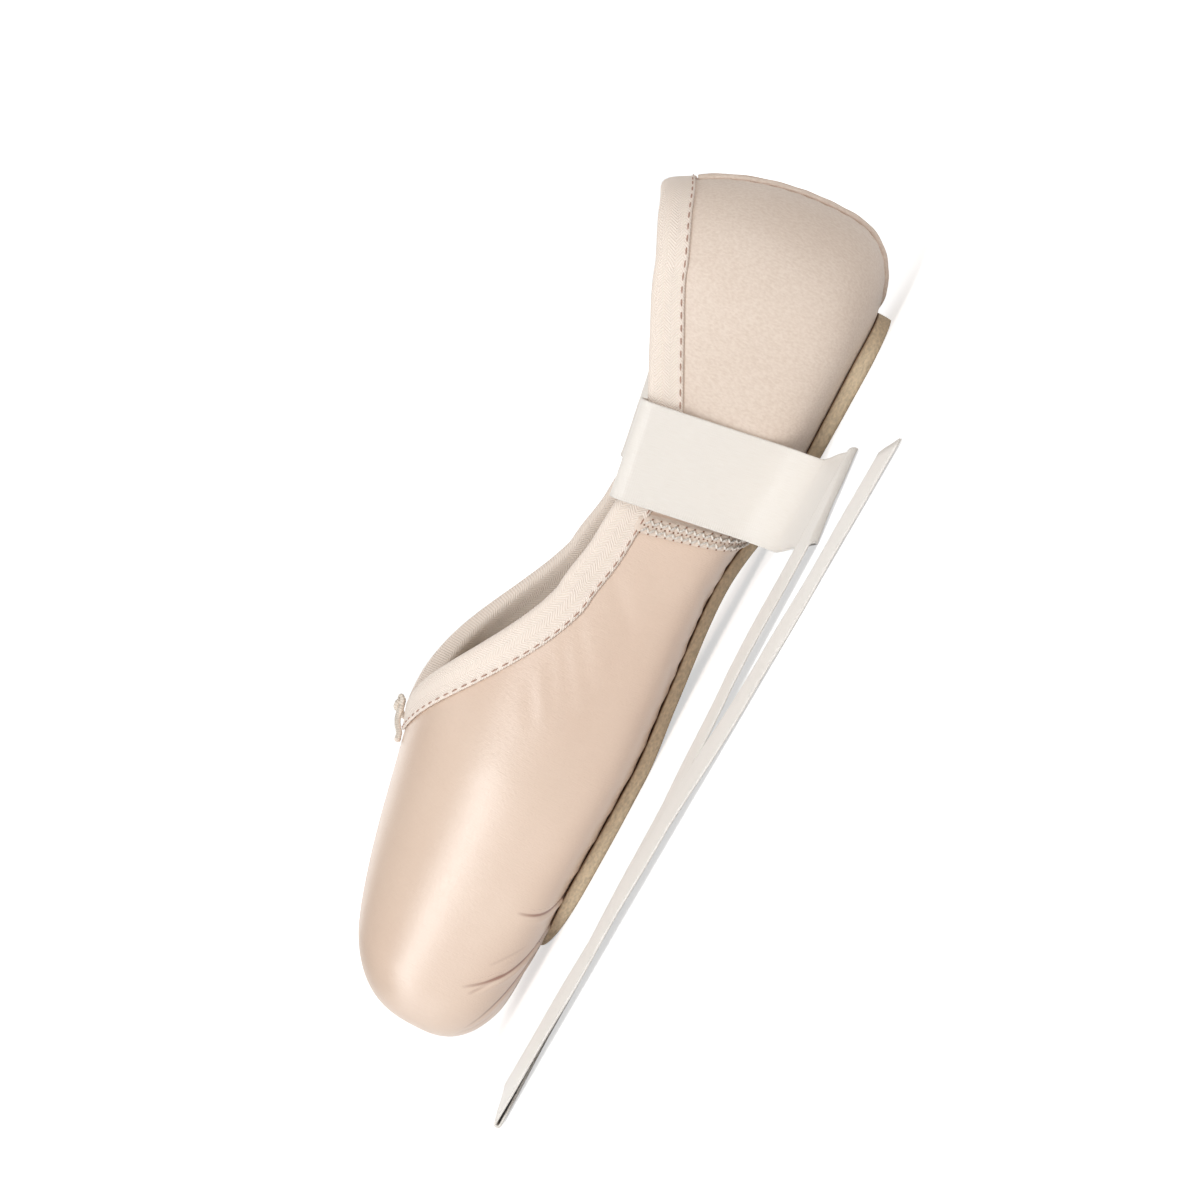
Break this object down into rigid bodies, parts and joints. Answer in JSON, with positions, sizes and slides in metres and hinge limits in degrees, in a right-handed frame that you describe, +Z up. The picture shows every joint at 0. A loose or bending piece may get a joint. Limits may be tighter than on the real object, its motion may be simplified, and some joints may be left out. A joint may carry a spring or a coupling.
{
  "type": "pointe shoe",
  "caption": "Satin pointe shoe with a boxed flat-tipped toe, short suede sole, bound drawstring collar and loose ankle ribbons, standing empty on its sole.",
  "frame": {"origin": "on the floor under the middle of the shoe, half way between the back seam and the platform", "axes": "+X to the toe, +Y to the shoe's left side, +Z up"},
  "size_m": [0.2311, 0.3792, 0.0659],
  "materials": {
    "satin": "satin weave, soft gloss",
    "suede": "brushed suede",
    "sock": "matte cotton",
    "tape": "twill tape",
    "cord": "braided cotton",
    "ribbon": "satin ribbon"
  },
  "bodies": {
    "root": {"upper": "satin", "outsole": "suede", "insole": "sock", "binding": "tape", "side_seam_left": "satin", "side_seam_right": "satin", "back_seam": "satin", "drawstring_knot": "cord", "ribbon_left": "ribbon", "ribbon_right": "ribbon"}
  },
  "joints": []
}
